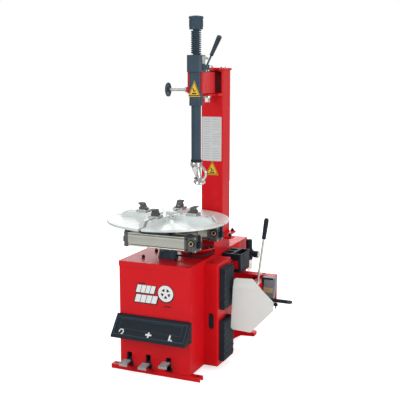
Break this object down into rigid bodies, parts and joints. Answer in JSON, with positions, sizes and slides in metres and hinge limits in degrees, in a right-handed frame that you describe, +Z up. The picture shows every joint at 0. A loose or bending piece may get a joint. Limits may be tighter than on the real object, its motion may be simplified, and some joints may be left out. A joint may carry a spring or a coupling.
{
  "type": "tire changer",
  "caption": "Swing-arm tire changer with a jawed turntable, a sprung tool shaft on a column, foot pedals and a side bead breaker.",
  "frame": {"origin": "on the floor, at the centre of the rectangle of anchor holes in the two foot rails", "axes": "+Z up, +X to the operator's right where the bead breaker is, -Y towards the operator"},
  "size_m": [0.9399, 0.9749, 1.851],
  "materials": {
    "red_paint": "gloss powder coat",
    "black_paint": "satin powder coat",
    "white_paint": "satin",
    "grey_paint": "satin",
    "steel": "brushed",
    "zinc": "zinc plated",
    "chrome": "polished",
    "alu": "extruded",
    "iron": "cast",
    "brass": "turned",
    "rubber": "moulded",
    "black_plastic": "grained",
    "clear_bowl": "clear"
  },
  "bodies": {
    "cabinet": {"front_foot_rail": "red_paint", "rear_foot_rail": "red_paint", "cabinet_shell": "red_paint", "side_cover": "red_paint", "top_plate": "red_paint", "pad_carrier": "red_paint", "upper_bead_pad": "rubber", "lower_bead_pad": "rubber", "pedal_hood": "black_plastic", "column_pedestal": "red_paint", "column_base_plate": "red_paint", "column": "red_paint", "pivot_plates": "red_paint", "pivot_pin": "zinc", "cover_bolts": "zinc", "tool_tray": "black_plastic", "regulator_body": "black_plastic", "filter_bowl": "clear_bowl", "pressure_gauge": "black_plastic", "gearbox_housing": "iron", "gearbox_neck": "black_paint", "motor": "alu", "drive_belt": "rubber", "breaker_cylinder": "alu", "air_hoses": "rubber", "hose_tee": "brass", "pedal_shaft": "steel", "foot_valves": "alu", "breaker_beam": "red_paint"},
    "regulator_knob": {"regulator_knob": "black_plastic"},
    "motor_rotor": {"motor_pulley": "iron"},
    "worm": {"worm_shaft": "steel"},
    "turntable": {"spindle": "steel", "worm_wheel": "brass", "turntable_disc": "steel", "jaw_guides": "steel", "cylinder_carrier": "black_paint", "jaw_cylinders": "alu", "cylinder_fittings": "brass"},
    "right_jaw": {"jaw_right": "steel"},
    "rear_jaw": {"jaw_rear": "steel"},
    "left_jaw": {"jaw_left": "steel"},
    "front_jaw": {"jaw_front": "steel"},
    "swing": {"swing_arm": "red_paint", "arm_sleeve": "black_paint", "lock_block": "black_paint", "return_spring": "black_paint"},
    "tool_shaft": {"hex_shaft": "steel", "shaft_cap": "black_plastic", "mount_head": "chrome"},
    "lock_lever": {"lock_lever": "black_plastic"},
    "clamp_screw": {"clamp_screw": "black_plastic"},
    "left_foot_pedal": {"left_pedal": "grey_paint"},
    "centre_foot_pedal": {"centre_pedal": "grey_paint"},
    "right_foot_pedal": {"right_pedal": "grey_paint"},
    "breaker": {"breaker_arm": "red_paint", "breaker_cover": "grey_paint", "breaker_blade": "white_paint", "breaker_handle": "black_plastic"},
    "breaker_piston": {"breaker_rod": "black_paint"}
  },
  "joints": [
    {"name": "turntable_turn", "type": "hinge", "parent": "cabinet", "child": "turntable", "pos_m": [0, -0.241, 0.8], "axis": [0, 0, 1], "continuous": true},
    {"name": "worm_turn", "type": "hinge", "parent": "cabinet", "child": "worm", "pos_m": [-0.0764, -0.241, 0.5], "axis": [0, -1, 0], "continuous": true},
    {"name": "motor_turn", "type": "hinge", "parent": "cabinet", "child": "motor_rotor", "pos_m": [-0.0764, -0.241, 0.255], "axis": [0, -1, 0], "continuous": true},
    {"name": "right_jaw_slide", "type": "slide", "parent": "turntable", "child": "right_jaw", "axis": [1, 0, 0], "range_m": [-0.05, 0.09]},
    {"name": "rear_jaw_slide", "type": "slide", "parent": "turntable", "child": "rear_jaw", "axis": [0, 1, 0], "range_m": [-0.05, 0.09]},
    {"name": "left_jaw_slide", "type": "slide", "parent": "turntable", "child": "left_jaw", "axis": [-1, 0, 0], "range_m": [-0.05, 0.09]},
    {"name": "front_jaw_slide", "type": "slide", "parent": "turntable", "child": "front_jaw", "axis": [0, -1, 0], "range_m": [-0.05, 0.09]},
    {"name": "swing_arm_turn", "type": "hinge", "parent": "cabinet", "child": "swing", "pos_m": [0.106, 0.036, 1.5], "axis": [0, 0, 1], "range_deg": [-15, 95]},
    {"name": "tool_shaft_slide", "type": "slide", "parent": "swing", "child": "tool_shaft", "axis": [0, 0, 1], "range_m": [-0.05, 0], "stiffness_N_per_m": 1500, "springref_m": 0.11, "deforming": ["return_spring"]},
    {"name": "lock_lever_turn", "type": "hinge", "parent": "swing", "child": "lock_lever", "pos_m": [0.17808, -0.15086, 1.59], "axis": [-0.0976, 0.9952, 0], "range_deg": [0, 60]},
    {"name": "clamp_screw_turn", "type": "hinge", "parent": "swing", "child": "clamp_screw", "pos_m": [0.06512, -0.16193, 1.476], "axis": [-0.9952, -0.0976, 0], "range_deg": [-180, 180]},
    {"name": "left_pedal_turn", "type": "hinge", "parent": "cabinet", "child": "left_foot_pedal", "pos_m": [-0.149, -0.281, 0.075], "axis": [1, 0, 0], "range_deg": [0, 6], "stiffness_Nm_per_rad": 8, "springref_deg": -17.19},
    {"name": "centre_pedal_turn", "type": "hinge", "parent": "cabinet", "child": "centre_foot_pedal", "pos_m": [-0.038, -0.281, 0.075], "axis": [1, 0, 0], "range_deg": [0, 6], "stiffness_Nm_per_rad": 8, "springref_deg": -17.19},
    {"name": "right_pedal_turn", "type": "hinge", "parent": "cabinet", "child": "right_foot_pedal", "pos_m": [0.08, -0.281, 0.075], "axis": [1, 0, 0], "range_deg": [0, 6], "stiffness_Nm_per_rad": 8, "springref_deg": -17.19},
    {"name": "breaker_arm_turn", "type": "hinge", "parent": "cabinet", "child": "breaker", "pos_m": [0.412, 0.13, 0.4], "axis": [0, 0, 1], "range_deg": [0, 28]},
    {"name": "breaker_piston_slide", "type": "slide", "parent": "cabinet", "child": "breaker_piston", "axis": [1, 0, 0], "range_m": [0, 0.08]},
    {"name": "regulator_knob_turn", "type": "hinge", "parent": "cabinet", "child": "regulator_knob", "pos_m": [0.248, 0.331, 0.56], "axis": [0, 0, 1], "range_deg": [-150, 150]}
  ],
  "couplings": [
    {"joint": "worm_turn", "follows": "turntable_turn", "ratio": 40},
    {"joint": "motor_turn", "follows": "turntable_turn", "ratio": 96.119},
    {"joint": "rear_jaw_slide", "follows": "right_jaw_slide", "ratio": 1},
    {"joint": "left_jaw_slide", "follows": "right_jaw_slide", "ratio": 1},
    {"joint": "front_jaw_slide", "follows": "right_jaw_slide", "ratio": 1},
    {"joint": "breaker_piston_slide", "follows": "breaker_arm_turn", "m_per_rad": 0.146}
  ]
}
